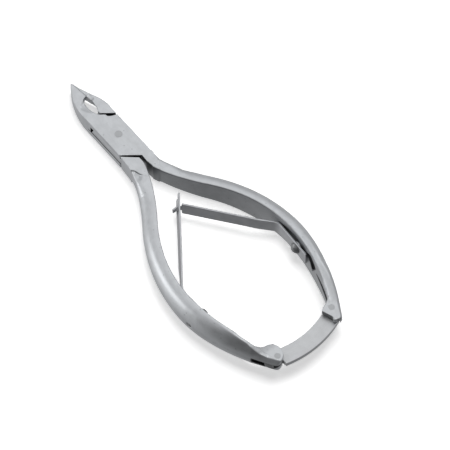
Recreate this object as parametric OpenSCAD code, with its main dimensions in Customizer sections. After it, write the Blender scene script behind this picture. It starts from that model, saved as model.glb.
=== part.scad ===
// Cuticle nipper with a box joint, two interlocked leaf springs and a back lock arm.
// +X runs along the tool towards the cutting tips, +Z is up through the box joint.
// The origin is on the joint pin's axis, in the underside of the box joint.
// The tool is shown closed and locked. Lengths are millimetres.

/* [Box joint] */
// Thickness of the box joint
box_t = 7.1; // [6.5:0.1:8]
// Width of the box joint
box_w = 8.8; // [8.4:0.1:9.4]
// Radius of the round pocket that the tenon turns in
pocket_r = 9.25; // [9:0.05:9.5]
// Slope of the box plates' front and rear edges, in degrees from the long axis
edge_angle = 52; // [48:1:56]
// Radius of the joint pin
joint_pin_r = 1.05; // [0.9:0.05:1.4]

/* [Jaws] */
// Distance from the joint pin to the cutting tips
jaw_len = 24.6; // [22:0.2:27]
// Height of the jaws at their tips
tip_h = 3.4; // [2:0.2:5]
// Offset of the cutting seam from the joint pin's axis
seam_y = -0.6; // [-0.8:0.1:-0.4]

/* [Handles] */
// Thickness of a handle from its flat inner face to its rounded back
handle_t = 4.6; // [4.2:0.1:5]
// Greatest height of a handle
handle_h = 12.6; // [11:0.2:13.4]
// Height of a handle's end, where the lock arm is held
ear_h = 6; // [5.6:0.1:7]
// Width of the saw slots that take the lock arm
lock_slot_h = 2; // [1.9:0.05:2.2]

/* [Lock arm] */
// Thickness of the lock arm
arm_t = 1.7; // [1.4:0.1:1.8]
// Width of the lock arm
arm_w = 5.4; // [5:0.1:5.6]
// Radius of the lock arm's curved centre line
arm_r = 30; // [30:0.5:30.5]
// Radius of the lock's hinge pin and catch pin
lock_pin_r = 0.85; // [0.7:0.05:0.9]

/* [Springs] */
// Thickness of the spring strip
spring_t = 0.6; // [0.4:0.05:0.7]
// Height of the spring strip
spring_h = 5.2; // [4.6:0.2:5.6]
// Radius of the spring rivets' domed heads
rivet_head_r = 1.75; // [1.4:0.05:2]

/* [Hidden] */
$fn = 64;
eps = 0.01;

mid_z = box_t / 2;
running_gap = 0.05;      // radial clearance where a piece turns on a pin
seat_gap = 0.02;         // radial clearance where a pin is fixed
plate_gap = 0.05;        // clearance above and below the tenon
seam_gap = 0.05;         // clearance between the closed cutting edges
shoulder_gap = 0.45;     // gap between the box plates and a shoulder
tenon_t = box_t / 3;
tenon_r = pocket_r - 0.15;
half_w = box_w / 2;

// Sloping edges of the box plates: where they cross the long axis
front_edge_x = 9;
rear_edge_x = 9.6;
edge_dir = [cos(edge_angle), sin(edge_angle)];
edge_out = [edge_dir[1], -edge_dir[0]];

// Inner face of the handle on the +Y side: two cubic curves, end to end
root_curve = [[-10.3, 0.2], [-16.9, -0.35], [-29.2, 8.2], [-30.3, 9]];
grip_curve = [[-30.3, 9], [-51.6, 24.9], [-73.1, 19.3], [-91, 8.8]];
end_thin = 2.7;          // handle thickness at its very end

// Cutting seam, from the teardrop opening to the tips
seam = [[17.4, seam_y - 0.45], [20, seam_y - 0.25], [jaw_len, seam_y]];

// Lock arm
hinge_at = [-85.8, -12];
catch_at = [-88.2, 10.5];
arm_centre = [-59.4, 0.8];
hook_end = 154;          // directions of the arm's two ends seen from arm_centre
hinge_end = 203;
boss_r = 2.5;
// The catch leaves the hook in this direction when the arm swings in
release_dir = [cos(145), sin(145)];

// Springs: bend, crossing and foot end of the strip on the +Y side
bend_at = [-53.7, 18.3];
cross_at = [-30, 0];
foot_end = [-67.6, 17.6];
blade_len = norm(cross_at - bend_at);
blade_turn = atan2(cross_at[1] - bend_at[1], cross_at[0] - bend_at[0]);
foot_turn = atan2(foot_end[1] - bend_at[1], foot_end[0] - bend_at[0]);
foot_len = norm(foot_end - bend_at);
bend_gap = 0.35;
rivet_at = 8.9;          // rivet's distance from the bend, along the foot
rivet_r = 0.8;
rivet_depth = 5;
tongue_h = 1.8;
fork_slot_h = 2.6;
fork_start = 2.5;        // the fork opens this far before the crossing
fork_len = 2.6;          // and reaches this far past it
shoulder_len = 2.1;       // the tongue starts this far before the crossing

function bezier(p, t) =
    pow(1 - t, 3) * p[0] + 3 * pow(1 - t, 2) * t * p[1] + 3 * (1 - t) * t * t * p[2] + pow(t, 3) * p[3];
function bezier_dir(p, t) =
    let (d = pow(1 - t, 2) * (p[1] - p[0]) + 2 * (1 - t) * t * (p[2] - p[1]) + t * t * (p[3] - p[2]))
    d / norm(d);
function outward(d) = [d[1], -d[0]];

// Section of a handle at the distance x behind the joint pin
function grip_t(x) = lookup(x, [[10, handle_t], [60, handle_t], [80, 3.5], [91, end_thin]]);
function grip_h(x) = lookup(x, [[12, box_t - 0.1], [19, box_t - 0.2], [31, 8.8], [42, 10.2], [64, handle_h - 0.2],
                                [72, handle_h], [78, handle_h],
                                [80, handle_h - 1], [83.5, ear_h + 0.6], [86, ear_h]]);
function squareness(x) = lookup(x, [[14, 7], [23, 2.2]]);

function grip_ring(p, t, steps, early) =
    let (c = bezier(p, t), n = outward(bezier_dir(p, t)), x = -c[0],
         a = grip_t(x), b = grip_h(x + early) / 2, q = 2 / squareness(x))
    [for (k = [0:steps])
        let (w = -90 + 180 * k / steps, out = a * pow(abs(cos(w)), q),
             up = b * sign(sin(w)) * pow(abs(sin(w)), q))
        [c[0] + n[0] * out, c[1] + n[1] * out, up]];

// Solid through a list of rings with the same number of points each
module skin(rings) {
    m = len(rings[0]);
    last = len(rings) - 1;
    polyhedron(
        points = [for (r = rings) each r],
        faces = concat(
            [[for (k = [m - 1:-1:0]) k]],
            [for (i = [0:last - 1]) for (k = [0:m - 1])
                [i * m + k, (i + 1) * m + (k + 1) % m, (i + 1) * m + k]],
            [for (i = [0:last - 1]) for (k = [0:m - 1])
                [i * m + k, i * m + (k + 1) % m, (i + 1) * m + (k + 1) % m]],
            [[for (k = [0:m - 1]) last * m + k]]));
}

// Half-oval handle on the +Y side, about the mid plane. Its height changes early by that distance
module grip(early) {
    steps = 14;
    skin(concat(
        [for (t = [0.12:0.11:0.99]) grip_ring(root_curve, t, steps, early)],
        [for (t = [0:0.05:1.001]) grip_ring(grip_curve, t, steps, early)]));
}

// Plan of everything past a sloping edge that crosses the long axis at x, moved out by gap
module past_edge(x, gap) {
    start = [x, 0] + edge_out * gap;
    polygon([start - 12 * edge_dir, start + 12 * edge_dir,
             start + 12 * edge_dir + 30 * edge_out, start - 12 * edge_dir + 30 * edge_out]);
}

module ahead_of_box(gap) {
    past_edge(front_edge_x, gap);
}

module behind_box(gap) {
    rotate(180) past_edge(rear_edge_x, gap);
}

// Side view of the jaws: full thickness at the box, thin at the tips
module jaw_taper() {
    rotate([90, 0, 0]) linear_extrude(30, center = true)
        polygon([[-40, -mid_z], [11, -mid_z], [jaw_len + 1, -tip_h / 2],
                 [jaw_len + 1, tip_h / 2], [11, mid_z], [-40, mid_z]]);
}

function jaw_outer(side, bow) =
    [[9, side * half_w], [9 + bow[0], side * (half_w + 0.3)], [bow[1], side * bow[2]], [jaw_len, seam_y]];
box_jaw_edge = jaw_outer(1, [6.5, 20.5, 2.9]);
through_jaw_edge = jaw_outer(-1, [5, 17.5, 2.2]);

module box_jaw_plan() {
    polygon(concat(
        [[0, half_w], [0, 0.6], [9, 0.6]],
        [for (w = [180:-20:0]) [13.2 + 3.7 * cos(w), 0.3 + 0.9 * sin(w)]],
        [for (k = [0:2]) seam[k] + [0, seam_gap]],
        [for (t = [0.9:-0.1:0]) bezier(box_jaw_edge, t)]));
}

module through_jaw_plan() {
    polygon(concat(
        [for (t = [0:0.1:0.95]) bezier(through_jaw_edge, t)],
        [for (k = [2:-1:0]) seam[k]],
        [[15.8, seam[0][1] - 0.15], [13.9, -1.2], [12.1, -0.9], [10.4, -0.2], [8, -0.2], [4, -half_w]]));
}

// Hollow ground into the top of the jaws behind the cutting edges
module jaw_hollow() {
    translate([13.9, 0.5, mid_z + 2.9]) sphere(4.3);
}

// Middle layer that the tenon turns in
module pocket() {
    for (s = [0, 180]) rotate(s) linear_extrude(tenon_t + 2 * plate_gap, center = true)
        polygon([[0, 0], [13, 0.35], [13, -7], [0, -7]]);
    cylinder(r = pocket_r, h = tenon_t + 2 * plate_gap, center = true, $fn = 96);
}

module tenon() {
    linear_extrude(tenon_t, center = true) intersection() {
        union() {
            circle(tenon_r, $fn = 96);
            for (s = [0, 180]) rotate(s) polygon([[0, 0], [11, 0], [11, -half_w], [0, -half_w]]);
        }
        translate([-12, -half_w + 0.05]) square([24, box_w - 0.1]);
    }
}

module root_block() {
    polygon([[-6, half_w], [-6, 2], [-10.3, 0.2], [-12.5, 0.15], [-14.6, 0.75], [-14, 5.1], [-11, 4.75]]);
}

module spring_frame() {
    translate([bend_at[0], bend_at[1], 0]) children();
}

// Raised seat on the handle's inner face, under the spring's foot
module spring_seat() {
    spring_frame() rotate(foot_turn) translate([rivet_at, -spring_t / 2, 0])
        rotate([90, 0, 0]) cylinder(r = 1.9, h = 2);
}

module rivet_bore(r) {
    spring_frame() rotate(foot_turn) translate([rivet_at, 2, 0])
        rotate([90, 0, 0]) cylinder(r = r, h = 2 + spring_t / 2 + rivet_depth + 1);
}

module drill(at, r) {
    translate([at[0], at[1], 0]) cylinder(r = r, h = 20, center = true);
}

module box_half() {
    color("silver") translate([0, 0, mid_z]) difference() {
        union() {
            intersection() {
                linear_extrude(box_t, center = true) union() {
                    difference() {
                        translate([-12, -half_w]) square([24, box_w]);
                        ahead_of_box(0);
                        behind_box(0);
                    }
                    box_jaw_plan();
                    mirror([0, 1]) root_block();
                }
                jaw_taper();
            }
            mirror([0, 1, 0]) grip(0);
            mirror([0, 1, 0]) spring_seat();
            linear_extrude(ear_h, center = true)
                polygon([[-81, -14.4], [-83.2, -12.4], [-84.2, -9.9], [-85, -9.2], [-86, -9.5],
                         [-88.8, -10.5], [-90, -11.2], [-90.2, -11.9], [-89.6, -12.4], [-86, -13.6]]);
        }
        // rounded end, the lower plate shorter than the upper one
        difference() {
            translate([-110, -30, -10]) cube([23, 30, 20]);
            translate([-87.1, -11.7, -11]) cylinder(r = 3.05, h = 22);
        }
        difference() {
            translate([-110, -30, -10]) cube([24, 30, 10]);
            translate([-85.8, -12.2, -11]) cylinder(r = 2.95, h = 12);
        }
        pocket();
        jaw_hollow();
        drill([0, 0], joint_pin_r + seat_gap);
        // clevis slot and its run up the inner face, where the folded arm lies
        linear_extrude(lock_slot_h, center = true) union() {
            translate(hinge_at) circle(boss_r + 0.15);
            polygon([[-73.5, -17.1], [-79, -16], [-82.5, -15], hinge_at + [1.5, -2.4], hinge_at + [-2.2, -1.6],
                     [-92, -9.9], [-92, -5], [-73.5, -5]]);
        }
        drill(hinge_at, lock_pin_r + seat_gap);
        mirror([0, 1, 0]) rivet_bore(rivet_r + seat_gap);
    }
}

module through_half() {
    color("silver") translate([0, 0, mid_z]) difference() {
        union() {
            intersection() {
                linear_extrude(box_t, center = true) intersection() {
                    through_jaw_plan();
                    ahead_of_box(shoulder_gap);
                }
                jaw_taper();
            }
            tenon();
            linear_extrude(box_t, center = true) intersection() {
                root_block();
                behind_box(shoulder_gap);
            }
            difference() {
                grip(1.6);
                // inner face ground back towards the end
                translate([0, 0, -10]) linear_extrude(20)
                    polygon([[-73, 16.8], [-77.6, 15.9], [-81, 15], [-84, 14], [-92, 10.5], [-92, 0], [-73, 0]]);
            }
            spring_seat();
            linear_extrude(ear_h, center = true)
                polygon([[-80, 14.8], [-82, 13], [-83.2, 11.9], [-83.5, 10.8], [-84.2, 9.4], [-85.3, 8.6],
                         [-86.8, 8.1], [-88.3, 8.3], [-89.4, 9.1], [-90, 10.3], [-90, 11.5], [-87, 13]]);
        }
        // rounded end, the lower plate shorter than the upper one
        difference() {
            translate([-110, 0, -10]) cube([22.6, 30, 20]);
            translate([-87, 11, -11]) cylinder(r = 3.2, h = 22);
        }
        difference() {
            translate([-110, 0, -10]) cube([23.2, 30, 10]);
            translate([-86.8, 10.9, -11]) cylinder(r = 2.8, h = 12);
        }
        jaw_hollow();
        drill([0, 0], joint_pin_r + running_gap);
        // clevis slot, open at the inner face, the end and the back
        translate([0, 0, -lock_slot_h / 2]) linear_extrude(lock_slot_h)
            polygon([[-82, 5], [-82, 13.4], [-83.4, 16], [-83.4, 20], [-95, 20], [-95, 5]]);
        drill(catch_at, lock_pin_r + seat_gap);
        rivet_bore(rivet_r + seat_gap);
    }
}

module joint_pin() {
    color("darkgray") cylinder(r = joint_pin_r, h = box_t);
}

// Strip of spring from x0 to x1 along X, of the height h
module strip(x0, x1, h) {
    translate([x0, -spring_t / 2, -h / 2]) cube([x1 - x0, spring_t, h]);
}

module spring_foot() {
    difference() {
        spring_frame() rotate(foot_turn) strip(bend_gap, foot_len, spring_h);
        rivet_bore(rivet_r + seat_gap);
    }
}

module spring_rivet() {
    cap = 0.95;
    ball_r = (rivet_head_r * rivet_head_r + cap * cap) / (2 * cap);
    spring_frame() rotate(foot_turn) translate([rivet_at, spring_t / 2, 0]) rotate([-90, 0, 0]) {
        intersection() {
            translate([0, 0, cap - ball_r]) sphere(ball_r);
            cylinder(r = rivet_head_r + eps, h = cap + eps);
        }
        translate([0, 0, -spring_t - rivet_depth]) cylinder(r = rivet_r, h = spring_t + rivet_depth + eps);
    }
}

module box_spring_foot() {
    color("lightsteelblue") translate([0, 0, mid_z]) mirror([0, 1, 0]) spring_foot();
}

module through_spring_foot() {
    color("lightsteelblue") translate([0, 0, mid_z]) spring_foot();
}

module box_spring_rivet() {
    color("dimgray") translate([0, 0, mid_z]) mirror([0, 1, 0]) spring_rivet();
}

module through_spring_rivet() {
    color("dimgray") translate([0, 0, mid_z]) spring_rivet();
}

// Blade that narrows to a tongue, bent where it has passed the other blade
module box_spring_blade() {
    color("lightsteelblue") translate([0, 0, mid_z]) mirror([0, 1, 0]) {
        spring_frame() rotate(blade_turn) {
            strip(bend_gap, blade_len - shoulder_len, spring_h);
            strip(blade_len - shoulder_len - eps, blade_len + 0.6, tongue_h);
            translate([blade_len + 0.6, 0, 0]) rotate(-56) strip(-0.1, 2.8, tongue_h);
        }
    }
}

// Blade whose end is forked around the tongue
module through_spring_blade() {
    color("lightsteelblue") translate([0, 0, mid_z]) spring_frame() rotate(blade_turn) difference() {
        strip(bend_gap, blade_len + fork_len, spring_h);
        translate([blade_len - fork_start, -2, -fork_slot_h / 2]) cube([10, 4, fork_slot_h]);
    }
}

module lock_arm() {
    across = [-release_dir[1], release_dir[0]];
    color("gainsboro") translate([0, 0, mid_z]) difference() {
        linear_extrude(arm_t, center = true) difference() {
            union() {
                intersection() {
                    translate(arm_centre) difference() {
                        circle(arm_r + arm_w / 2, $fn = 180);
                        circle(arm_r - arm_w / 2, $fn = 180);
                    }
                    translate(arm_centre) polygon([[0, 0], 60 * [cos(hook_end), sin(hook_end)],
                                                   60 * [cos(hinge_end), sin(hinge_end)]]);
                }
                translate(hinge_at) circle(boss_r);
            }
            // end, flush with the handle's back
            polygon([[-84.6, 15.4], [-89.4, 12.9], [-95, 18], [-86, 24]]);
            // open notch that hooks on the catch pin
            translate(catch_at) circle(lock_pin_r + 0.25);
            polygon([catch_at - across * (lock_pin_r + 0.25), catch_at + 6 * release_dir - across * 1.3,
                     [-94, 9.6], [-90.9, 9.4], catch_at + across * (lock_pin_r + 0.25)]);
        }
        drill(hinge_at, lock_pin_r + running_gap);
    }
}

module lock_hinge_pin() {
    color("darkgray") translate([hinge_at[0], hinge_at[1], mid_z])
        cylinder(r = lock_pin_r, h = ear_h, center = true);
}

module lock_catch_pin() {
    color("darkgray") translate([catch_at[0], catch_at[1], mid_z])
        cylinder(r = lock_pin_r, h = ear_h, center = true);
}

box_half();
through_half();
joint_pin();
box_spring_foot();
box_spring_blade();
box_spring_rivet();
through_spring_foot();
through_spring_blade();
through_spring_rivet();
lock_arm();
lock_hinge_pin();
lock_catch_pin();
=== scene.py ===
import math
import bpy
import numpy as np
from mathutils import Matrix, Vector


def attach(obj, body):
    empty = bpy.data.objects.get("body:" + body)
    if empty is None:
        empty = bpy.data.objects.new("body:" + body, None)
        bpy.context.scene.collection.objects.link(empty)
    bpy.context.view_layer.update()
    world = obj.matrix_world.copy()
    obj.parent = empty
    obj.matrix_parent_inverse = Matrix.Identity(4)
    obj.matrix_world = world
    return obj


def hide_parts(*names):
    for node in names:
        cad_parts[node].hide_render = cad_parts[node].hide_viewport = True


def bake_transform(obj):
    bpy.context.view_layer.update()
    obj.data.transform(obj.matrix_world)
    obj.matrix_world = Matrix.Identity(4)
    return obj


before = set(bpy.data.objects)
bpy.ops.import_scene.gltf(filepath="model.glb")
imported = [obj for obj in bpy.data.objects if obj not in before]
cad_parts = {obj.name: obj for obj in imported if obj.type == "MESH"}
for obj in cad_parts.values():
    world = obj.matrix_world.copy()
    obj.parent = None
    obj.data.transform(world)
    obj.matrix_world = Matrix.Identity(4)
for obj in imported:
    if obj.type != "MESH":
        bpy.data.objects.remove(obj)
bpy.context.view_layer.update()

# Lengths below are millimetres, x and y as in the row frame, z from the tool's mid plane.
# Where a shape belongs to both springs or handles, it is given for the one on the +Y side.
MM = 0.001
MID = 3.55                  # half the box joint's thickness
HALF_W = 4.4                # box joint's +Y side, from the joint pin
FAR_W = 4.1                 # box joint's -Y side
PIN_R = 1.05                # joint pin
LOCK_R = 0.85               # lock pins
HINGE = (-85.8, -12.0)      # lock hinge pin
CATCH = (-88.2, 10.5)       # lock catch pin
SLOPE = math.radians(52)    # slant of the box plates' ends, in the plan
GAP = 0.4                   # between the through half's shoulders and the box's ends
TENON_R = 9.1
TENON_TOP = 1.2             # from the mid plane up
TENON_UNDER = 0.95          # from the mid plane down
POCKET_R = 9.25             # pocket the tenon turns in
POCKET_H = 1.24             # half its height
SLOT_H = 1.0                # half height of the saw slots in the handles' ends
EAR_H = 3.0                 # half thickness of the handles' ends
ARM_H = 0.85                # half thickness of the lock arm
EYE_R = 2.5                 # lock arm's round end
TIP = 24.6                  # jaw tips
BEND = (-53.7, 18.3)        # spring's bend, between its foot and its blade
CROSS = (-30.0, 0.0)        # where the blades cross
FOOT = (-67.6, 17.6)        # end of the spring's foot
RIVET_AT = 8.9              # from the bend, along the foot
RIVET_R = 0.82              # rivet shank
OUT = -9.0                  # field value that takes nothing away in a cut
COARSE = 1.0


# ---------------------------------------------------------------- solids as distance fields
def smax(a, b, r):
    """Intersection of two solids, with their common edge rounded."""
    return np.maximum(a, b) + np.maximum(r - np.abs(a - b), 0) ** 2 / (4 * r)


def smin(a, b, r):
    """Union of two solids, with a fillet between them."""
    return -smax(-a, -b, r)


def plan(points, x, y):
    """Distance from a closed outline in the plan, negative inside."""
    p = np.array(points, float)
    d = np.full(np.broadcast(x, y).shape, 1e6)
    inside = np.zeros(d.shape, bool)
    for (ax, ay), (bx, by) in zip(p, np.roll(p, -1, 0)):
        ex, ey = bx - ax, by - ay
        wx, wy = x - ax, y - ay
        t = np.clip((wx * ex + wy * ey) / (ex * ex + ey * ey + 1e-12), 0, 1)
        d = np.minimum(d, (wx - ex * t) ** 2 + (wy - ey * t) ** 2)
        if ey:
            inside ^= ((ay > y) != (by > y)) & (wx < ex * wy / ey)
    return np.where(inside, -1, 1) * np.sqrt(d)


def disc(at, r, x, y):
    """Distance from a circle in the plan, negative inside."""
    return np.hypot(x - at[0], y - at[1]) - r


def bezier(p, n):
    """Points along a cubic curve with four control points."""
    t = np.linspace(0, 1, n)[:, None]
    p = np.array(p, float)
    return (1 - t) ** 3 * p[0] + 3 * (1 - t) ** 2 * t * p[1] + 3 * (1 - t) * t * t * p[2] + t ** 3 * p[3]


def closed(field):
    """The field with its outermost samples outside the solid, so that its surface closes."""
    for end in (0, -1):
        field[end], field[:, end], field[:, :, end] = 1.0, 1.0, 1.0
    return field


CORNERS = [(a, b, c) for a in (0, 1) for b in (0, 1) for c in (0, 1)]
# The four cells around a grid edge, for an edge along each axis.
AROUND = {0: [(0, -1, -1), (0, 0, -1), (0, 0, 0), (0, -1, 0)],
          1: [(-1, 0, -1), (-1, 0, 0), (0, 0, 0), (0, 0, -1)],
          2: [(-1, -1, 0), (0, -1, 0), (0, 0, 0), (-1, 0, 0)]}


def cell_points(field, cells):
    """Mean of the surface's crossings with each cell's edges, in grid units."""
    value = {c: field[cells[:, 0] + c[0], cells[:, 1] + c[1], cells[:, 2] + c[2]] for c in CORNERS}
    pos = np.zeros((len(cells), 3))
    hits = np.zeros(len(cells))
    for c in CORNERS:
        for axis in range(3):
            if c[axis]:
                continue
            e = tuple(1 if k == axis else c[k] for k in range(3))
            hit = (value[c] < 0) != (value[e] < 0)
            t = np.where(hit, value[c] / np.where(hit, value[c] - value[e], 1), 0)
            p = np.tile(np.array(c, float), (len(cells), 1))
            p[:, axis] += t
            pos += p * hit[:, None]
            hits += hit
    return pos / hits[:, None] + cells


def net_quads(inside, ids):
    """One quad of cell points around every grid edge that crosses the surface."""
    quads = []
    for axis in range(3):
        step = [0, 0, 0]
        step[axis] = 1
        low = inside[:inside.shape[0] - step[0], :inside.shape[1] - step[1], :inside.shape[2] - step[2]]
        high = inside[step[0]:, step[1]:, step[2]:]
        for way in (0, 1):
            cross = np.argwhere(low & ~high if way == 0 else ~low & high)
            quad = np.stack([ids[tuple((cross + np.array(o)).T)] for o in AROUND[axis]], 1)
            quads.append(quad if way == 0 else quad[:, ::-1])
    return np.concatenate(quads)


def sample(grids, q):
    """Values of some grids at points in grid units, and the cells that the points are in."""
    base = [np.clip(q[:, k].astype(int), 0, grids[0].shape[k] - 2) for k in range(3)]
    f = [q[:, k] - base[k] for k in range(3)]
    total = [0.0] * len(grids)
    for a, b, c in CORNERS:
        w = (f[0] if a else 1 - f[0]) * (f[1] if b else 1 - f[1]) * (f[2] if c else 1 - f[2])
        for k, g in enumerate(grids):
            total[k] = total[k] + w * g[base[0] + a, base[1] + b, base[2] + c]
    return total, base


def mesh_from(field, xs, ys, zs):
    """Vertices, quads and normals of the zero level of a field on a rectilinear grid (surface nets)."""
    inside = field < 0
    n = [s - 1 for s in field.shape]
    count = sum(inside[a:a + n[0], b:b + n[1], c:c + n[2]].astype(np.int8) for a, b, c in CORNERS)
    active = (count > 0) & (count < 8)
    cells = np.argwhere(active)
    ids = np.full(active.shape, -1, np.int64)
    ids[active] = np.arange(len(cells))
    pos = cell_points(field, cells)
    slopes = list(np.gradient(field, xs, ys, zs))
    cell = [np.diff(v) for v in (xs, ys, zs)]
    # two steps along the slope bring the points onto the surface
    for _ in range(2):
        (value_at, gx, gy, gz), base = sample([field] + slopes, pos)
        size = np.maximum(gx * gx + gy * gy + gz * gz, 0.05)
        for k, g in enumerate((gx, gy, gz)):
            pos[:, k] -= np.clip(value_at * g / size / cell[k][base[k]], -0.35, 0.35)
    normals = np.stack(sample(slopes, pos)[0], 1)
    normals /= np.maximum(np.linalg.norm(normals, axis=1), 1e-9)[:, None]
    real = np.stack([np.interp(pos[:, k], np.arange(len(v)), v) for k, v in enumerate((xs, ys, zs))], 1)
    return real, net_quads(inside, ids), normals


def ticks(*spans):
    """Grid lines: (start, end, step) spans that follow on from each other."""
    lines = [np.array([spans[0][0]])]
    for a, b, step in spans:
        n = max(1, round((b - a) / (step * COARSE)))
        lines.append(np.linspace(a, b, n + 1)[1:])
    return np.concatenate(lines)


def smooth_mesh(name, verts, faces):
    """A smooth mesh in metres, from vertices in millimetres about the mid plane."""
    me = bpy.data.meshes.new(name)
    me.from_pydata([tuple(v) for v in (verts + [0, 0, MID]) * MM], [], faces)
    me.polygons.foreach_set("use_smooth", np.ones(len(me.polygons), bool))
    me.update()
    return me


def shown(me, body, cad):
    """The object of a mesh, which rides on a body, if it has just one, and stands for its CAD nodes."""
    o = bpy.data.objects.new(me.name, me)
    bpy.context.scene.collection.objects.link(o)
    if body:
        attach(o, body)
    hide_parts(*cad)
    return o


def piece(name, verts, faces, normals, body, flow, shade, cad):
    """A piece made from a field, with the grain's direction and, for its steel, the painted shade (and the
    inner faces' duller skin).
    """
    me = smooth_mesh(name, verts, [tuple(f) for f in faces.tolist()])
    a = me.attributes.new("flow", "FLOAT_VECTOR", "POINT")
    a.data.foreach_set("vector", np.ascontiguousarray(flow, np.float32).ravel())
    # painted shade per vertex, with the inner faces' duller skin, darkens the steel's base colour
    a = me.attributes.new("painted_shade_and_skin", "FLOAT", "POINT")
    a.data.foreach_set("value", np.ascontiguousarray(shade, np.float32))
    me.update()
    me.normals_split_custom_set_from_vertices([tuple(v) for v in normals])
    return shown(me, body, cad)


# ---------------------------------------------------------------- handles
# Bezier curves of the inner face, and the section's thickness, full height and roundness (the power
# of its oval) against the distance behind the joint pin; -1 is the right handle, 1 the left one.
ROOT = [(-10.3, 0.2), (-16.9, -0.35), (-29.2, 8.2), (-30.3, 9.0)]
GRIP = [(-30.3, 9.0), (-51.6, 24.9), (-73.1, 19.3), (-91.0, 8.8)]
INNER = np.concatenate([bezier(ROOT, 120)[:-1], bezier(GRIP, 300)])
TANGENT = np.gradient(INNER, axis=0)
TANGENT /= np.linalg.norm(TANGENT, axis=1)[:, None]
ARC = np.concatenate([[0], np.cumsum(np.linalg.norm(np.diff(INNER, axis=0), axis=1))])
THICK = {-1: [(10, 3.7), (16, 3.75), (20, 4.0), (27, 4.6), (60, 4.6), (80, 3.5), (91, 2.7)],
         1: [(10, 4.6), (60, 4.6), (80, 3.5), (91, 2.7)]}
HEIGHT = {-1: [(12, 7.0), (19, 6.9), (31, 8.8), (42, 10.2), (64, 12.3), (70, 12.3), (74, 11.6),
               (78, 10.0), (82, 7.6), (84.6, 6.0), (90, 6.0)],
          1: [(10.4, 7.0), (17.4, 6.9), (29.4, 8.8), (40.4, 10.2), (62.4, 12.4), (81.5, 12.5),
              (86, 8.8), (90, 8.0)]}
POWER = {-1: [(14, 7.0), (23, 2.2), (72, 2.2), (84, 4.0)],
         1: [(14, 7.0), (23, 2.2), (65, 2.2), (80, 1.45)]}
# Heights of the filed flats above and below the left handle's end.
FLAT_ABOVE = [(70, 6.4), (75.3, 6.0), (79.8, 5.4), (82, 4.7), (84.6, 3.5), (86.6, 3.0)]
FLAT_BELOW = [(70, 6.4), (75, 6.0), (78.4, 5.4), (82, 3.5), (85, 3.0)]


def lookup(table, x):
    """Value at x of a table of (x, value) rows."""
    t = np.array(table, float)
    return np.interp(x, t[:, 0], t[:, 1])


def along(x, y):
    """Distance out from the +Y handle's inner face, station (x of the nearest point) and arc length."""
    px, py = x.ravel(), y.ravel()
    near = np.zeros(len(px), int)
    batch = 20000
    for s in range(0, len(px), batch):
        ex = px[s:s + batch, None] - INNER[None, :, 0]
        ey = py[s:s + batch, None] - INNER[None, :, 1]
        near[s:s + batch] = (ex ** 2 + ey ** 2).argmin(1)
    c, t = INNER[near], TANGENT[near]
    dx, dy = px - c[:, 0], py - c[:, 1]
    u = dx * t[:, 1] - dy * t[:, 0]
    ds = dx * t[:, 0] + dy * t[:, 1]
    return [v.reshape(x.shape) for v in (u, c[:, 0] + ds * t[:, 0], ARC[near] + ds)]


def handle(u, station, z, side):
    """Half-oval bar: flat inner face, rounded back."""
    x = -station
    a, b, p = lookup(THICK[side], x), lookup(HEIGHT[side], x) / 2, lookup(POWER[side], x)
    ua, zb = np.maximum(u, 0) / a, np.abs(z) / b
    r = (ua ** p + zb ** p) ** (1 / p) + 1e-9
    steep_u = np.maximum(ua, 1e-6) ** (p - 1) / a
    steep_z = np.maximum(zb, 1e-6) ** (p - 1) / b
    back = (r - 1) / np.maximum(np.hypot(steep_u, steep_z) / r ** (p - 1), 0.05)
    return smax(back, -u, 0.4)


# ---------------------------------------------------------------- box joint and jaws
def ahead(x, y):
    """Distance past the box's slanting front end."""
    return (x - 9.0) * math.sin(SLOPE) - y * math.cos(SLOPE)


def behind(x, y):
    """Distance past the box's slanting back end."""
    return (-x - 9.6) * math.sin(SLOPE) + y * math.cos(SLOPE)


def top(x):
    """Half thickness of the box and jaws."""
    return np.interp(x, [-40, 10.6, 11.6, TIP + 1], [MID, MID, 3.47, 1.7])


# Left and right jaws' outer faces.
JAW_L = [tuple(p) for p in bezier([(9, HALF_W), (15.5, 4.7), (20.5, 2.9), (TIP, -0.6)], 25)]
JAW_R = [tuple(p) for p in bezier([(9, -FAR_W), (14.6, -4.6), (16.6, -1.9), (TIP, -0.6)], 25)]
# Left and right jaws' inner edges: the teardrop opening, then the cutting edge out to the tips.
DROP = [(13.2 - 3.7 * math.cos(w), 0.3 + 0.9 * math.sin(w)) for w in np.radians(np.arange(0, 181, 12))]
EDGE_L = [(8.0, 0.6), (9.4, 0.6)] + DROP + [(17.3, -1.02), (20.0, -0.82), (TIP, -0.57)]
EDGE_R = [(4.0, -0.2), (10.4, -0.2), (12.1, -0.9), (13.9, -1.2), (15.8, -1.25), (17.3, -1.05),
          (20.0, -0.85), (TIP, -0.6)]
# Foot of the hollow's steep wall.
CREASE = [(16.95, -0.4), (16.9, 0.2), (16.6, 1.0), (15.9, 2.1), (14.6, 3.4), (13.4, 4.6), (8, 6), (8, -1)]
# The opening's outline, for the relief below it.
OPENING = [(17.3, -0.6), (16.8, -1.15), (15.8, -1.25), (13.9, -1.2), (12.1, -0.9), (10.4, -0.2),
           (9.8, 0.4), (13.2, 1.2), (16.6, 0.7)]
# How far the relief under the opening's rim goes sideways for each millimetre down.
SLANT = (0.449, -0.363)
# The right handle's slit for the arm, with its half height behind the pin, and the left one's slot.
SLIT = [(-73.4, -17.0), (-79, -15.9), (-82.5, -15), (-84.3, -14.4), (-88, -13.6), (-92, -9.9),
        (-92, -5), (-73.5, -5)]
SLIT_H = [(73.3, 0.15), (75, 0.55), (78, 0.85), (81, SLOT_H)]
SLOT = [(-82, 5), (-82, 13.4), (-83.4, 16), (-83.4, 20), (-95, 20), (-95, 5)]
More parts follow.
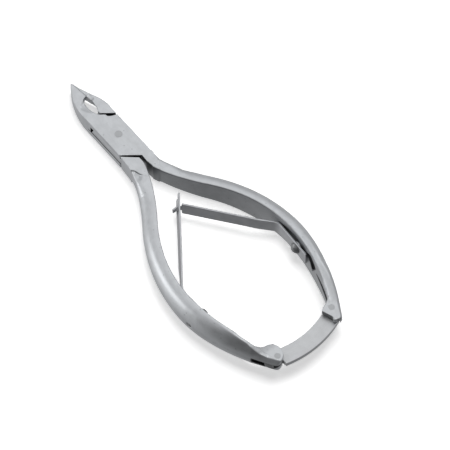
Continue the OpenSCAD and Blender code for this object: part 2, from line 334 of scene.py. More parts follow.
# The handles' ends, in the plan.
EAR_R = [(-77.5, -16.6), (-80, -15.1), (-82.6, -13.2), (-83.6, -11.7), (-84.2, -9.9), (-84.9, -9.0),
         (-86, -9.35), (-88.8, -10.4), (-90, -10.9), (-90.3, -11.4), (-89.9, -12.0), (-88, -13.1),
         (-85.1, -14.6), (-81.5, -16.2)]
EAR_L = [(-77.5, 15.3), (-79.3, 14.6), (-81.5, 13.5), (-82.9, 12.45), (-83.4, 11.5), (-83.6, 10.3),
         (-84.3, 9.0), (-85.6, 8.35), (-87.2, 8.1), (-88.8, 8.7), (-89.9, 9.9), (-90.2, 10.7),
         (-88.3, 11.9), (-85.4, 13.2), (-82.2, 14.25), (-79.8, 14.95)]


def hollow_left(x, y, z):
    """Ground hollow behind the cutting edge: steep wall at the crease, floor rising to the box."""
    wall = (top(x) + 0.85 * plan(CREASE, x, y) - z) / 1.3
    ground = MID - 0.27 * (x - 10.2) + 0.05 * y ** 2
    return smax(wall, (ground - z) / 1.04, 0.35)


def relief(x, y, z, rim):
    """Slanting relief below the rim of the opening between the jaws."""
    drop = np.maximum(top(x) - rim - z, 0)
    way = plan(OPENING, x - SLANT[0] * drop, y - SLANT[1] * drop)
    return smax(way, z - top(x) + rim, 0.1)


def scoop(x, y, z):
    """Shallow scoop in the top of the through half's jaw."""
    reach = np.sqrt((x - 16.2) ** 2 + (1.15 * (y + 1.35)) ** 2 + (1.9 * (z - top(x) - 0.4)) ** 2)
    return 0.7 * (reach - 1.75)


def recess(u, station, z):
    """Wedge-shaped recess in the inner face past the spring's foot."""
    outline = plan([(-66.8, 1.8), (-67.4, 2.9), (-69.2, 4.1), (-71.6, 2.9), (-72.6, 1.9), (-71.6, -0.4),
                    (-70.6, -2.4), (-69.2, 0.0)], station, z)
    return np.maximum(np.maximum(u - 0.8, -u - 2.0), outline)


def past(start, at, r, x, y):
    """Arc that rounds off whatever is behind start, and takes nothing away elsewhere."""
    return np.where(x < start, disc(at, r, x, y), OUT)


def rounded_end(solid, upper, lower, x, y, z):
    """A handle with its end rounded off, and its lower plate cut shorter."""
    solid = smax(solid, past(*upper, x, y), 0.4)
    return np.maximum(solid, np.minimum(past(*lower, x, y), -z))


def bored(solid, holes, x, y):
    """A solid with round holes through it, given as (centre, radius)."""
    for at, r in holes:
        solid = np.maximum(solid, -disc(at, r, x, y))
    return solid


def left_jaw(x, y, z):
    """Left jaw, cut along its inner edge, with the relief under its rim."""
    jaw = plan([(0, HALF_W), (0, -2.2), (12, -2.2), (TIP, -1.6)] + JAW_L[::-1], x, y)
    edge = (lookup(EDGE_L, x) - y) * 0.8
    jaw = np.maximum(smax(jaw, np.abs(z) - top(x), 0.2), edge)
    return np.maximum(jaw, np.where(x > 12, -relief(x, y, z, 1.1), OUT))


def plates(x, y, z):
    """Box with its slanting ends and filed corner, and the root of the right handle."""
    body = np.maximum(np.maximum(np.maximum(y - HALF_W, -y - FAR_W), ahead(x, y)), behind(x, y))
    # filed corner by the right jaw
    dent = plan([(7.2, -1.4), (6.55, -2.3), (5.9, -3.9), (9.5, -3.9), (9.5, -1.0)], x, y)
    body = np.maximum(body, -dent)
    root = plan([(-6, -FAR_W), (-6, -2), (-10.2, -0.9), (-12.9, -0.75), (-15.4, -1.1), (-17.2, -1.8),
                 (-15.4, -2.7), (-14.4, -3.5), (-13.2, -4.05), (-11.4, -4.25), (-9.6, -FAR_W)], x, y)
    return smax(np.minimum(body, root), np.abs(z) - top(x), 0.12)


def pocket(x, y, z):
    """The space between the plates that the tenon turns in."""
    hole = np.minimum(disc((0, 0), POCKET_R, x, y),
                      np.minimum(plan([(0, 0), (13, 0.35), (13, -7), (0, -7)], x, y),
                                 plan([(0, 0), (-13, -0.35), (-13, 7), (0, 7)], x, y)))
    return np.maximum(hole, np.abs(z) - POCKET_H)


def arm_slit(x, y, z):
    """Clevis slot for the lock arm's eye, and the slit up the handle's inner face."""
    slit = np.minimum(plan(SLIT, x, y), disc(HINGE, EYE_R + 0.15, x, y))
    wide = lookup(SLIT_H, -x)
    return np.maximum(slit, np.maximum(z - 1.3 * wide, -z - wide))


def box_field(x, y, z):
    """Box half: left jaw, outer plates, right handle."""
    block = np.minimum(plates(x, y, z), left_jaw(x, y, z))
    block = np.maximum(block, -hollow_left(x, y, z))
    u, station, _ = along(x, -y)
    bar = np.maximum(handle(u, station, z, -1), x + 11.5)
    solid = smin(block, bar, np.clip((-x - 10.5) / 3, 0.02, 1))
    # room for the other half's root
    crevice = plan([(-9.2, 0.6), (-10.3, -0.95), (-12.9, -0.75), (-15.4, -1.05), (-15.9, 2), (-9, 2)], x, y)
    solid = np.maximum(solid, -crevice)
    solid = smin(solid, smax(plan(EAR_R, x, y), np.abs(z) - EAR_H, 0.2), 0.3)
    solid = rounded_end(solid, (-87.1, (-87.1, -11.7), 3.05), (-85.8, (-85.8, -12.2), 2.95), x, y, z)
    solid = np.maximum(solid, -pocket(x, y, z))
    solid = np.maximum(solid, -arm_slit(x, y, z))
    solid = smax(solid, -recess(u, station, z), 0.15)
    solid = bored(solid, (((0, 0), PIN_R), (HINGE, LOCK_R)), x, y)
    return np.maximum(np.minimum(solid, seat(x, -y, z)), -shank(x, -y, z))


def scallop(x, y, z):
    """Egg-shaped hollow where the left handle's bar meets the block."""
    dx, dy, dz = x + 15.0, y - 4.5, z - 4.6
    across, radial = dx * 0.83 - dy * 0.56, dx * 0.56 + dy * 0.83
    return 1.6 * (np.sqrt((across / 2.6) ** 2 + (radial / 1.7) ** 2 + (dz / 1.9) ** 2) - 1)


def front(x, y):
    """Front face of the through half's root, which draws away from the box towards -Y."""
    return GAP + 0.02 + 0.07 * (HALF_W - y) - behind(x, y)


def right_jaw(x, y, z):
    """Right jaw with its shoulder, cut along its inner edge, scooped on top and relieved below."""
    outline = plan([(4, -FAR_W)] + JAW_R + [(TIP, 0.4), (17, 1), (8, 1)], x, y)
    jaw = smax(np.maximum(outline, GAP - ahead(x, y)), np.abs(z) - top(x), 0.15)
    jaw = np.maximum(jaw, (y - lookup(EDGE_R, x)) * 0.9)
    # the relief stops short of the jaw's outer face
    under = smax(relief(x, y, z, 0.55), outline + 0.22, 0.15)
    return np.maximum(np.maximum(jaw, -scoop(x, y, z)), -under)


def tenon(x, y, z):
    """Middle layer that joins the right jaw to the left handle through the box."""
    tongue = np.minimum(disc((0, 0), TENON_R, x, y),
                        np.minimum(plan([(0, 0), (11, 0), (11, -HALF_W), (0, -HALF_W)], x, y),
                                   plan([(0, 0), (-11, 0), (-11, HALF_W), (0, HALF_W)], x, y)))
    tongue = np.maximum(np.maximum(tongue, np.maximum(y - HALF_W, -y - FAR_W) + 0.05), np.abs(x) - 12)
    # slanting notch in the front edge, open to the side
    notch = np.maximum(np.maximum((7.9 - x) * 0.9 - (z + TENON_UNDER) * 0.4, 3.2 - y), -z - 1.3)
    return np.maximum(np.maximum(tongue, -notch), np.maximum(z - TENON_TOP, -z - TENON_UNDER))


def left_bar(x, y, z):
    """Left handle's bar, from its scalloped root to the flats filed at its end."""
    u, station, _ = along(x, y)
    # inner face ground back towards the end
    ground = lookup([(72, -1.0), (77, 0.35), (92, 1.1)], -station)
    bar = np.maximum(smax(handle(u, station, z, 1), ground - u, 0.35), x + 12.5)
    bar = smax(bar, np.maximum(z - lookup(FLAT_ABOVE, -x), -z - lookup(FLAT_BELOW, -x)), 0.15)
    return smax(bar, -scallop(x, y, z), 0.5)


def through_field(x, y, z):
    """Through half: right jaw, tenon, left handle."""
    root = plan([(-6, HALF_W), (-6, 2), (-10.3, 0.2), (-12.5, 0.15), (-14.6, 0.75), (-17.6, 2.0),
                 (-16.2, 3.0), (-15.2, 3.65), (-13.9, 3.95), (-13.0, 4.4), (-12.4, 5.0), (-11, 4.75)], x, y)
    block = smax(np.maximum(root, front(x, y)), np.abs(z) - MID, 0.12)
    solid = smin(block, left_bar(x, y, z), 0.1)
    solid = smin(solid, smax(plan(EAR_L, x, y), np.abs(z) - EAR_H - 0.05, 0.2), 0.25)
    solid = rounded_end(solid, (-87.4, (-87, 11), 3.2), (-86.8, (-86.8, 10.9), 2.8), x, y, z)
    solid = smax(solid, -np.maximum(plan(SLOT, x, y), np.abs(z) - SLOT_H), 0.14)
    solid = np.minimum(solid, np.minimum(right_jaw(x, y, z), tenon(x, y, z)))
    solid = bored(solid, (((0, 0), PIN_R + 0.05), (CATCH, LOCK_R)), x, y)
    return np.maximum(np.minimum(solid, seat(x, y, z)), -shank(x, y, z))


# ---------------------------------------------------------------- spring feet's seats, and painted shade
FOOT_TURN = math.atan2(FOOT[1] - BEND[1], FOOT[0] - BEND[0])


def in_foot(x, y):
    """Coordinates along the +Y spring's foot and across it, towards the inside."""
    dx, dy = x - BEND[0], y - BEND[1]
    c, s = math.cos(FOOT_TURN), math.sin(FOOT_TURN)
    return dx * c + dy * s, -dx * s + dy * c


def seat(x, y, z):
    """Round seat on the handle's inner face under the spring's foot."""
    a, b = in_foot(x, y)
    return np.maximum(np.hypot(a - RIVET_AT, z) - 1.9, np.maximum(b + 0.32, -b - 2.0))


def shank(x, y, z):
    """Hole for the rivet's shank."""
    a, b = in_foot(x, y)
    return np.maximum(np.hypot(a - RIVET_AT, z) - RIVET_R - 0.03, np.maximum(b - 1.0, -b - 7.0))


def clamp(v):
    """Limited to 0 to 1."""
    return np.clip(v, 0, 1)


def box_painted_shade(x, y, z, u, station):
    """Painted shade on the box half: in the slit, wedge, root crevice, tenon's mouth and clevis, and a dark
    line along the groove on the box's sides.
    """
    # painted shade: the walls of the slit and wedge, the root's crevice and the tenon's mouth are drawn
    # darker
    slit = np.maximum(plan(SLIT, x, y), np.abs(z) - lookup(SLIT_H, -x))
    wedge = recess(u, station, z)
    crevice = np.where((x < -9) & (x > -19) & (u < 0.5) & (np.abs(z) < 3.3), ((-x - 9) / 9) ** 2, 1)
    mouth = (x > 6.5) & (x < 10) & (y > 2.5) & (np.abs(z) < 1.23) & (np.hypot(x, y) < 9.4)
    crevice = np.where(mouth, 0, crevice)
    near = np.minimum(np.minimum(np.abs(slit), np.abs(wedge)) / 0.3, crevice)
    # painted shade on the ear's end faces at the clevis
    clevis = (x < -85) & (y > -12.3) & (np.abs(z) < 2.8)
    near = np.minimum(near, np.where(clevis, 0.3 + np.abs(plan(EAR_R, x, y)) / 0.4, 1))
    # painted shade: a dark line along the groove on the box's sides
    groove = np.maximum(np.abs(z + 1.1) - 0.2, np.abs(x) - 9.6)
    return np.minimum(near, np.where(np.hypot(x, y) < 10.5, np.maximum(groove, 0) / 0.15, 1))


def through_painted_shade(x, y, z):
    """Painted shade on the through half: in the slot, at the shoulders, on the tenon and at the front
    mouth, and a painted darker band (painted reflection) along the upper back near the lock.
    """
    # painted shade: the slot's walls, the shoulders facing the box, the tenon and the box's front mouth are
    # drawn darker
    near = np.abs(np.maximum(plan(SLOT, x, y), np.abs(z) - SLOT_H)) / 0.3
    near = np.minimum(near, np.where((x < -5) & (np.abs(z) < 3.4), np.abs(front(x, y)) / 0.25, 1))
    tenon = (np.abs(x) < 12) & (np.abs(z) < 1.25) & (np.abs(y + 0.1) < 3.8)
    near = np.minimum(near, np.where(tenon, 0, 1))
    mouth = (np.abs(GAP - ahead(x, y)) < 0.2) & (x > 3) & (np.abs(z) < 3.35)
    near = np.minimum(near, np.where(mouth, 0, 1))
    # painted reflection: the upper back near the lock is drawn up to a third darker
    band = clamp((-x - 67) / 9) * clamp((x + 87) / 4) * clamp((z - 1.4) / 1.6)
    return np.minimum(near, 1 - 0.35 * band * clamp((lookup(FLAT_ABOVE, -x) - z) / 0.25 - 0.4))


def painted_shade_and_skin(v, side):
    """Colour factor: 1 on open faces, lower as painted shade in slots, crevices and pockets, and lower on
    the inner faces, partly for their duller skin, partly as painted shade.
    """
    x, y, z = v.T
    u, station, s = along(x, side * y)
    near = box_painted_shade(x, y, z, u, station) if side < 0 else through_painted_shade(x, y, z)
    # inner faces drawn darker: partly a duller forged skin than the filed backs, partly painted shade
    inner = np.where((s > 2) & ((x > -78) | (np.abs(z) < 2.8)), clamp((u - 0.02) / 0.14), 1)
    return (0.12 + 0.88 * clamp(near)) * (0.77 + 0.23 * inner)


def half(name, field, side, body, cad):
    """One half of the tool, from its field; side is its handle's."""
    y0, y1 = (-24.0, 4.9) if side < 0 else (-4.9, 24.0)
    xs = ticks((-92.5, -82, 0.17), (-82, -72, 0.22), (-72, -17, 0.3), (-17, -11, 0.2), (-11, 25, 0.16))
    ys = ticks((y0, y1, 0.19))
    zs = ticks((-6.6, -3.9, 0.24), (-3.9, 3.9, 0.15), (3.9, 6.6, 0.24))
    x, y, z = xs[:, None, None], ys[None, :, None], zs[None, None, :]
    x, y = np.broadcast_arrays(x, y)
    f = field(np.ascontiguousarray(x), np.ascontiguousarray(y), z)
    v, q, n = mesh_from(closed(f), xs, ys, zs)
    u, _, s = along(v[:, 0], side * v[:, 1])
    flow = np.stack([np.where(v[:, 0] > -12, -v[:, 0] - 10, s), u, v[:, 2]], 1)
    return piece(name, v, q, n, body, flow, painted_shade_and_skin(v, side), cad)


half_a = half("box_half_forging", box_field, -1, "box_side", ["box_half"])
half_b = half("through_half_forging", through_field, 1, "through_side", ["through_half"])


# ---------------------------------------------------------------- lock arm
def arm():
    """Curved plate on the hinge pin, with a slanting mouth that hooks over the catch pin."""
    centre, radius, width = (-59.4, 0.8), 30.0, 5.4
    far = 60.0                  # past the ring's outside
    mouth_r = 1.1
    xs, ys = ticks((-93.5, -82, 0.15)), ticks((-15, 15.5, 0.15))
    zs = ticks((-1.1, 1.1, 0.11))
    x, y = np.meshgrid(xs, ys, indexing="ij")
    ring = np.abs(np.hypot(x - centre[0], y - centre[1]) - radius) - width / 2
    ends = plan([centre] + [(centre[0] + far * math.cos(w), centre[1] + far * math.sin(w))
                            for w in np.radians([154, 170, 186, 203])], x, y)
    d = np.minimum(smax(ring, ends, 0.3), disc(HINGE, EYE_R, x, y))
    # slanting end past the catch
    d = smax(d, -plan([(-84.6, 15.4), (-89.4, 12.9), (-95, 18), (-86, 24)], x, y), 0.3)
    mouth_turn = math.radians(145)
    way = np.array([math.cos(mouth_turn), math.sin(mouth_turn)])
    across = np.array([-way[1], way[0]])
    at = np.array(CATCH)
    mouth = plan([at - across * mouth_r, at + 6 * way - across * 1.3, (-94, 9.6), (-90.9, 9.4),
                  at + across * mouth_r], x, y)
    d = smax(d, -np.minimum(mouth, disc(CATCH, mouth_r, x, y)), 0.15)
    d = np.maximum(d, -disc(HINGE, LOCK_R + 0.05, x, y))
    f = smax(d[:, :, None] + 0 * zs, np.abs(zs)[None, None, :] - ARM_H, 0.2)
    v, q, n = mesh_from(closed(f), xs, ys, zs)
    vx, vy = v[:, 0] - centre[0], v[:, 1] - centre[1]
    flow = np.stack([np.arctan2(vy, -vx) * radius, np.hypot(vx, vy), v[:, 2]], 1)
    # painted shade: the hooked end, hidden in the other handle's slot, is drawn darker
    scale = np.interp(v[:, 1], [11.5, 12.5], [1.0, 0.4])
    return piece("lock_arm_plate", v, q, n, "lock", flow, scale, ["lock_arm"])


arm_piece = arm()


# ---------------------------------------------------------------- springs
STRIP_T = 0.6               # strip's thickness
STRIP_H = 2.6               # half its width
LEAN = 0.13                 # forked blade's lean, for each millimetre down from its top edge
BEND_R = 1.5                # length of the bend's curve on either side
TONGUE_H = 0.9              # half width of the tongue
FORK_H = 1.3                # half width of the gap in the fork
BLADE_LEN = math.hypot(CROSS[0] - BEND[0], CROSS[1] - BEND[1])
FOOT_LEN = math.hypot(FOOT[0] - BEND[0], FOOT[1] - BEND[1])


def unit(v):
    """The vector's direction."""
    return v / np.linalg.norm(v)


def strip_path(side, tip):
    """Points and arc lengths of the strip's middle line from the foot's end to the blade's tip."""
    b, c, f = (np.array(p) for p in (BEND, CROSS, FOOT))
    way_f, way_b = unit(f - b), unit(c - b)
    start = BEND_R + 0.1
    pts = [f, b + way_f * start]
    pts += list(bezier([b + way_f * BEND_R, b + way_f * 0.5, b + way_b * 0.5, b + way_b * BEND_R], 24))
    end = b + way_b * (BLADE_LEN + (0.5 if tip == "tongue" else 3.4))
    for t in np.linspace(0.08, 1, 24):
        pts.append(b + way_b * start + (end - b - way_b * start) * t)
    if tip == "tongue":
        # the tongue curls over, in short steps, and then runs straight
        a = math.atan2(way_b[1], way_b[0])
        for k, turn in enumerate(np.radians([10, 22, 34, 46, 56, 56, 56])):
            d = a - turn
            pts.append(pts[-1] + np.array([math.cos(d), math.sin(d)]) * (0.2 if k < 5 else 0.85))
    pts = np.array(pts)
    if side < 0:
        pts = pts * [1, -1]
    arc = np.concatenate([[0], np.cumsum(np.linalg.norm(np.diff(pts, axis=0), axis=1))])
    return pts, arc


def strip_field(s, t, h, total, tip):
    """The flat strip against its length, thickness and height, with its tip and rivet hole cut."""
    cross = FOOT_LEN + BLADE_LEN - 0.75
    wide = np.maximum(np.abs(h) - STRIP_H, np.maximum(-s, s - total))
    if tip == "tongue":
        wide = np.maximum(wide, np.minimum(s - (cross + 0.2), np.abs(h) - TONGUE_H))
    else:
        wide = np.maximum(wide, -np.maximum(np.abs(h) - FORK_H, (cross - 2.3) - s))
    wide = np.maximum(wide, RIVET_R - np.hypot(s - (FOOT_LEN - RIVET_AT), h))
    # rounded corners at the foot's end
    corner_r = 0.5
    corner = np.hypot(np.maximum(np.abs(h) - STRIP_H + corner_r, 0), np.maximum(corner_r - s, 0)) - corner_r
    wide = np.maximum(wide, np.where(s < 0.6, corner, -1))
    return smax(wide, np.abs(t) - STRIP_T / 2, 0.14)


def spring(name, side, tip, cad):
    """One spring: the straight strip is worked out flat, then laid along its path."""
    pts, arc = strip_path(side, tip)
    total = arc[-1]
    zs = ticks((-2.9, 2.9, 0.13))
    ts = ticks((-0.45, 0.45, 0.075))
    ss = ticks((-0.4, total + 0.4, 0.2))
    f = strip_field(ss[:, None, None], ts[None, :, None], zs[None, None, :], total, tip)
    v, q, n = mesh_from(closed(f), ss, ts, zs)
    tangent = np.gradient(pts, arc, axis=0)
    tangent /= np.linalg.norm(tangent, axis=1)[:, None]
    tx, ty = (np.interp(v[:, 0], arc, tangent[:, k]) for k in (0, 1))
    size = np.hypot(tx, ty)
    tx, ty = tx / size, ty / size
    over = v[:, 0] - np.clip(v[:, 0], 0, total)
    px, py = (np.interp(v[:, 0], arc, pts[:, k]) for k in (0, 1))
    # the blades are set a little off their bend, and the forked one leans
    grow = clamp((v[:, 0] - FOOT_LEN) / BLADE_LEN)
    if tip == "tongue":
        off = v[:, 1] + 0.45 * clamp(grow * 5)
    else:
        off = v[:, 1] + 0.4 * grow ** 2 + LEAN * (STRIP_H - v[:, 2]) * clamp(grow * 3)
    where = np.stack([px + over * tx - ty * off, py + over * ty + tx * off, v[:, 2]], 1)
    normal = np.stack([n[:, 0] * tx - n[:, 1] * ty, n[:, 0] * ty + n[:, 1] * tx, n[:, 2]], 1)
    o = piece(name, where, q, normal, None, v, np.ones(len(v)), cad)
    b, c, f = (np.array([p[0], side * p[1]]) for p in (BEND, CROSS, FOOT))
    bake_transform(o)
    return o


spring_a = spring("box_spring_strip", -1, "tongue",
                  ["box_spring_foot", "box_spring_blade"])
spring_b = spring("through_spring_strip", 1, "fork",
                  ["through_spring_foot", "through_spring_blade"])


# ---------------------------------------------------------------- pins and rivets
def turned(name, profile, at, axis, body, cad):
    """A turned piece: profile of (radius, height) along an axis, closed on the axis at both ends."""
    steps = 72
    axis = unit(np.array(axis, float))
    side = unit(np.cross(axis, [0, 0, 1] if abs(axis[2]) < 0.9 else [1, 0, 0]))
    other = np.cross(axis, side)
    at = np.array(at, float)
    w = np.linspace(0, 2 * math.pi, steps, endpoint=False)
    ring = np.cos(w)[:, None] * side + np.sin(w)[:, None] * other
    verts, faces = [at + axis * profile[0][1]], []
    for r, h in profile[1:-1]:
        verts.extend(at + axis * h + ring * r)
    verts.append(at + axis * profile[-1][1])
    rows = len(profile) - 2
    for k in range(steps):
        m = (k + 1) % steps
        faces.append((0, 1 + m, 1 + k))
        for r in range(rows - 1):
            a, b = 1 + r * steps, 1 + (r + 1) * steps
            faces.append((a + k, a + m, b + m, b + k))
        last = 1 + (rows - 1) * steps
        faces.append((last + k, last + m, len(verts) - 1))
    return shown(smooth_mesh(name, np.array(verts), faces), body, cad)


def pin(name, r, half_len, at, body, cad):
    """Upright flush pin with a slightly crowned, peened head at each end."""
    crown, lip = 0.03, 0.1
    p = [(0, -half_len - crown)]
    for k in (0.3, 0.6, 0.85, 1.0):
        p.append((r * k, -half_len - crown + 0.01 * k * k))
    p += [(r + lip, -half_len - 0.01), (r + lip, -half_len + 0.02), (r, -half_len + lip)]
    p += [(a, -b) for a, b in p[::-1]]
    return turned(name, p, (*at, 0), (0, 0, 1), body, cad)


joint_pin = pin("joint_pin_flush", PIN_R, MID, (0, 0), "box_side", ["joint_pin"])
hinge_pin = pin("lock_hinge_pin_flush", LOCK_R, EAR_H, HINGE, "box_side", ["lock_hinge_pin"])
catch_pin = pin("lock_catch_pin_flush", LOCK_R, EAR_H, CATCH, "through_side", ["lock_catch_pin"])


def rivet(name, side, body, cad):
    """Domed rivet through the spring's foot: its head inside the handle, its shank to the outside."""
    c, s = math.cos(FOOT_TURN), math.sin(FOOT_TURN)
    at = np.array([BEND[0] + RIVET_AT * c, BEND[1] + RIVET_AT * s])
    inward = np.array([-s, c])
    at, inward = at * [1, side], inward * [1, side]
    head, rise, foot_face, end = 1.85, 1.3, STRIP_T / 2, -5.3
    ball = (head * head + rise * rise) / (2 * rise)
    p = [(0, end), (0.7, end), (RIVET_R, end + 0.15), (RIVET_R, foot_face), (head - 0.12, foot_face),
         (head, foot_face + 0.06), (head, foot_face + 0.14)]
    for k in np.linspace(0.97, 0.0, 14):
        r = (head - 0.03) * k
        p.append((r, foot_face + rise - ball + math.sqrt(ball * ball - r * r)))
    return turned(name, p, (at[0], at[1], 0), (inward[0], inward[1], 0), body, cad)


rivet_a = rivet("box_rivet_domed", -1, "box_side", ["box_spring_rivet"])
rivet_b = rivet("through_rivet_domed", 1, "through_side", ["through_spring_rivet"])


# ---------------------------------------------------------------- materials
class Tree:
    """A node tree, with short ways to add the nodes that the steels and the room are made of."""

    def __init__(self, tree):
        self.add = tree.nodes.new
        self.link = tree.links.new

    def attribute(self, name):
        """A value that the mesh carries at its vertices."""
        n = self.add("ShaderNodeAttribute")
        n.attribute_name = name
        return n

    def noise(self, vector, unit_scale, scale, detail, stretch=(1, 1, 1), distort=0.0):
        """Noise with a scale per millimetre; unit_scale turns the vector into millimetres."""
        mapping = self.add("ShaderNodeMapping")
        mapping.inputs["Scale"].default_value = [unit_scale * s for s in stretch]
        self.link(vector, mapping.inputs["Vector"])
        n = self.add("ShaderNodeTexNoise")
        n.inputs["Scale"].default_value = scale
        n.inputs["Detail"].default_value = detail
        n.inputs["Distortion"].default_value = distort
        self.link(mapping.outputs["Vector"], n.inputs["Vector"])
        return n.outputs["Fac"]

    def ramp(self, fac, a, b, low=0.35, high=0.65):
        """A value that goes from a to b while the factor goes from low to high."""
        r = self.add("ShaderNodeMapRange")
        r.inputs["From Min"].default_value = low
        r.inputs["From Max"].default_value = high
        r.inputs["To Min"].default_value = a
        r.inputs["To Max"].default_value = b
        self.link(fac, r.inputs["Value"])
        return r.outputs["Result"]

    def calc(self, op, a, b):
        """Math on links or plain numbers."""
        n = self.add("ShaderNodeMath")
        n.operation = op
        for k, v in enumerate((a, b)):
            if isinstance(v, (int, float)):
                n.inputs[k].default_value = v
            else:
                self.link(v, n.inputs[k])
        return n.outputs[0]

    def dot(self, vector, way):
        """How far a vector points one way."""
        n = self.add("ShaderNodeVectorMath")
        n.operation = "DOT_PRODUCT"
        n.inputs[1].default_value = way
        self.link(vector, n.inputs[0])
        return n.outputs["Value"]

    def tinted(self, tone, fac):
        """A colour times a factor."""
        mix = self.add("ShaderNodeMix")
        mix.data_type = "RGBA"
        mix.blend_type = "MULTIPLY"
        mix.inputs["Factor"].default_value = 1.0
        mix.inputs["A"].default_value = (*tone, 1)
        grey = self.add("ShaderNodeCombineColor")
        for k in range(3):
            self.link(fac, grey.inputs[k])
        self.link(grey.outputs["Color"], mix.inputs["B"])
        return mix.outputs["Result"]


def pitting(t, source, unit_scale, pits):
    """Small dark pits, in patches."""
    spots = t.add("ShaderNodeTexVoronoi")
    spots.inputs["Scale"].default_value = 0.55 * unit_scale
    t.link(source, spots.inputs["Vector"])
    dot = t.ramp(spots.outputs["Distance"], 1.0 - pits, 1.0, 0.06, 0.16)
    patch = t.ramp(t.noise(source, unit_scale, 0.22, 3), 0.0, 1.0, 0.5, 0.56)
    return t.calc("MAXIMUM", dot, patch)


def steel(name, tone, rough, grain, along_flow=True, pits=0.0):
    """Satin stainless steel: grain along the piece, mottling, specks, painted shade from the mesh and, on
    the halves, pits.
    """
    m = bpy.data.materials.new(name)
    m.use_nodes = True
    m.node_tree.nodes.clear()
    t = Tree(m.node_tree)
    out = t.add("ShaderNodeOutputMaterial")
    shader = t.add("ShaderNodeBsdfPrincipled")
    shader.inputs["Metallic"].default_value = 1.0
    t.link(shader.outputs["BSDF"], out.inputs["Surface"])
    # flow is in millimetres and object coordinates in metres
    if along_flow:
        source, unit_scale = t.attribute("flow").outputs["Vector"], 1.0
    else:
        source, unit_scale = t.add("ShaderNodeTexCoord").outputs["Object"], 1 / MM
    streak = t.noise(source, unit_scale, 6.0, 4, stretch=(0.06, 1, 1))
    cloud = t.noise(source, unit_scale, 0.35, 3, distort=0.4)
    speck = t.noise(source, unit_scale, 9.0, 2)
    shade = t.calc("MULTIPLY", t.ramp(streak, 0.965, 1.035), t.ramp(cloud, 0.94, 1.05))
    shade = t.calc("MULTIPLY", shade, t.ramp(speck, 0.985, 1.015))
    # the mesh's painted shade (and duller inner skin) darkens the base colour
    if along_flow:
        shade = t.calc("MULTIPLY", shade, t.attribute("painted_shade_and_skin").outputs["Fac"])
    if pits:
        shade = t.calc("MULTIPLY", shade, pitting(t, source, unit_scale, pits))
    t.link(t.tinted(tone, shade), shader.inputs["Base Color"])
    roughness = t.calc("ADD", t.ramp(streak, rough - 0.035, rough + 0.035), t.ramp(cloud, -0.02, 0.02))
    t.link(roughness, shader.inputs["Roughness"])
    bump = t.add("ShaderNodeBump")
    bump.inputs["Strength"].default_value = grain
    bump.inputs["Distance"].default_value = 0.00002
    height = t.calc("ADD", t.calc("MULTIPLY", streak, 0.7), t.calc("MULTIPLY", speck, 0.5))
    t.link(height, bump.inputs["Height"])
    t.link(bump.outputs["Normal"], shader.inputs["Normal"])
    return m


def paint(o, m):
    """Gives an object one material, in place of what it had."""
    o.data.materials.clear()
    o.data.materials.append(m)


FILED = steel("satin_steel_filed", (0.505, 0.52, 0.535), 0.36, 0.5, pits=0.3)
PLATE = steel("satin_steel_arm", (0.50, 0.51, 0.52), 0.38, 0.4)
ROLLED = steel("spring_steel_rolled", (0.46, 0.47, 0.485), 0.36, 0.4)
GROUND = steel("pin_steel_ground", (0.40, 0.41, 0.42), 0.42, 0.4, along_flow=False)
DOMED = steel("rivet_steel_domed", (0.24, 0.245, 0.25), 0.34, 0.5, along_flow=False)
for material, pieces in ((FILED, (half_a, half_b)), (PLATE, (arm_piece,)), (ROLLED, (spring_a, spring_b)),
                         (GROUND, (joint_pin, hinge_pin, catch_pin)), (DOMED, (rivet_a, rivet_b)),
                         (GROUND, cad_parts.values())):
    for o in pieces:
        paint(o, material)


# ---------------------------------------------------------------- floor, light, camera
CENTRE = Vector((-43.3, -6.3, MID)) * MM
LEFT_DOWN = Vector((-0.777, 0.629, 0))      # towards the camera, level
RIGHT = Vector((-0.629, -0.777, 0))         # the picture's right


def floor():
    """Pale floor, tilted because the tool leans on the box's front and the handles' lower edges."""
    front_rest, back_rest = (10.0, 0.0), (-75.0, -2.75)
    tilt = (back_rest[1] - front_rest[1]) / (back_rest[0] - front_rest[0])
    reach, clearance = 2500.0, 0.15
    corners = [(-1, -1), (1, -1), (1, 1), (-1, 1)]
    verts = [(reach * cx, reach * cy, front_rest[1] + tilt * (reach * cx - front_rest[0]) - clearance)
             for cx, cy in corners]
    me = bpy.data.meshes.new("floor")
    me.from_pydata([tuple(c * MM for c in v) for v in verts], [], [(0, 1, 2, 3)])
    o = bpy.data.objects.new("floor", me)
    bpy.context.scene.collection.objects.link(o)
    m = bpy.data.materials.new("pale_floor")
    m.use_nodes = True
    s = m.node_tree.nodes["Principled BSDF"]
    s.inputs["Base Color"].default_value = (0.92, 0.92, 0.92, 1)
    s.inputs["Roughness"].default_value = 0.9
    s.inputs["Specular IOR Level"].default_value = 0.1
    s.inputs["Emission Color"].default_value = (1, 1, 1, 1)
    s.inputs["Emission Strength"].default_value = 0.57
    me.materials.append(m)
    # the steel mirrors the room, not the floor
    o.visible_glossy = False


def lamp(name, spot, size, power, on_table=False):
    """Softbox aimed at the tool: one lights the table, the others are only mirrored by the steel."""
    data = bpy.data.lights.new(name, "AREA")
    data.shape = "RECTANGLE"
    data.size, data.size_y = size
    data.energy = power
    o = bpy.data.objects.new(name, data)
    bpy.context.scene.collection.objects.link(o)
    o.location = spot
    o.rotation_euler = (CENTRE - spot).to_track_quat("-Z", "Y").to_euler()
    o.visible_glossy, o.visible_diffuse = not on_table, on_table


def spot_at(left_down, right, height):
    """A place in metres from the tool's middle, in the picture's directions."""
    return CENTRE + LEFT_DOWN * left_down + RIGHT * right + Vector((0, 0, height))


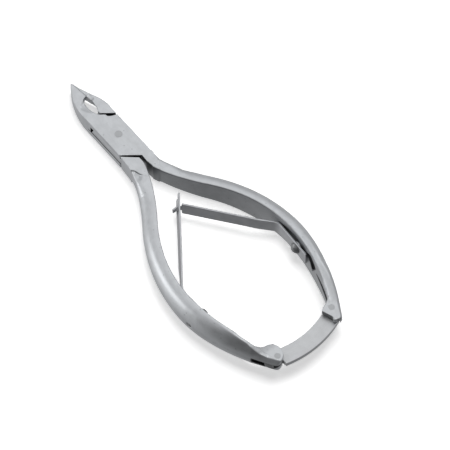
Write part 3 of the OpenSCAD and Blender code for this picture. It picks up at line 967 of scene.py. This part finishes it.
def sky(t, up_down):
    """Brightness of the room from straight down (0) to straight up (1)."""
    ramp = t.add("ShaderNodeValToRGB")
    first, last = ramp.color_ramp.elements
    first.color = (0.5, 0.5, 0.51, 1)
    last.color = (1.1, 1.1, 1.1, 1)
    for at, v in ((0.3, 0.54), (0.5, 0.45), (0.6, 0.55), (0.7, 0.72), (0.8, 0.92), (0.9, 1.05)):
        e = ramp.color_ramp.elements.new(at)
        e.color = (v, v, v * 1.01, 1)
    t.link(t.ramp(up_down, 0.0, 1.0, -1, 1), ramp.inputs["Fac"])
    return ramp.outputs["Color"]


def room():
    """The room that the steel mirrors: darker behind the camera, a pale wall low on the picture's left."""
    world = bpy.data.worlds.new("studio")
    bpy.context.scene.world = world
    world.use_nodes = True
    world.cycles_visibility.diffuse = False
    t = Tree(world.node_tree)
    way = t.add("ShaderNodeTexCoord").outputs["Generated"]
    part = t.add("ShaderNodeSeparateXYZ")
    t.link(way, part.inputs["Vector"])
    shaded = t.add("ShaderNodeVectorMath")
    shaded.operation = "SCALE"
    t.link(sky(t, part.outputs["Z"]), shaded.inputs[0])
    t.link(t.ramp(t.dot(way, LEFT_DOWN), 1.3, 0.3, -1, 1), shaded.inputs["Scale"])
    to_wall = t.dot(way, Vector((0, 0, -0.2)) - RIGHT * 0.98)
    wall = t.calc("MULTIPLY", t.calc("POWER", t.calc("MAXIMUM", to_wall, 0.0), 5.0), 0.7)
    total = t.add("ShaderNodeVectorMath")
    total.operation = "ADD"
    t.link(shaded.outputs["Vector"], total.inputs[0])
    t.link(wall, total.inputs[1])
    background = world.node_tree.nodes["Background"]
    t.link(total.outputs["Vector"], background.inputs["Color"])
    background.inputs["Strength"].default_value = 1.0


floor()
lamp("table_softbox", spot_at(-0.18, 0.08, 1.0), (0.55, 0.55), 7.0, on_table=True)
lamp("overhead_softbox", spot_at(0.2, 0, 1.0), (0.3, 0.3), 0.7)
lamp("left_softbox", spot_at(0, -0.9, 0.15), (0.6, 0.45), 1.1)
lamp("back_softbox", spot_at(-0.6, 0.7, 0.32), (0.4, 0.25), 0.35)
room()

ELEVATION = math.radians(60)
DISTANCE = 0.8937           # metres, from the tool's middle
camera = bpy.data.objects.new("camera", bpy.data.cameras.new("camera"))
bpy.context.scene.collection.objects.link(camera)
camera.location = spot_at(DISTANCE * math.cos(ELEVATION), 0, DISTANCE * math.sin(ELEVATION))
camera.rotation_euler = (CENTRE - camera.location).to_track_quat("-Z", "Y").to_euler()
camera.data.sensor_width = 36
camera.data.lens = 240
camera.data.clip_start = 0.01
camera.data.clip_end = 20
bpy.context.scene.camera = camera
bpy.context.scene.view_settings.view_transform = "Standard"
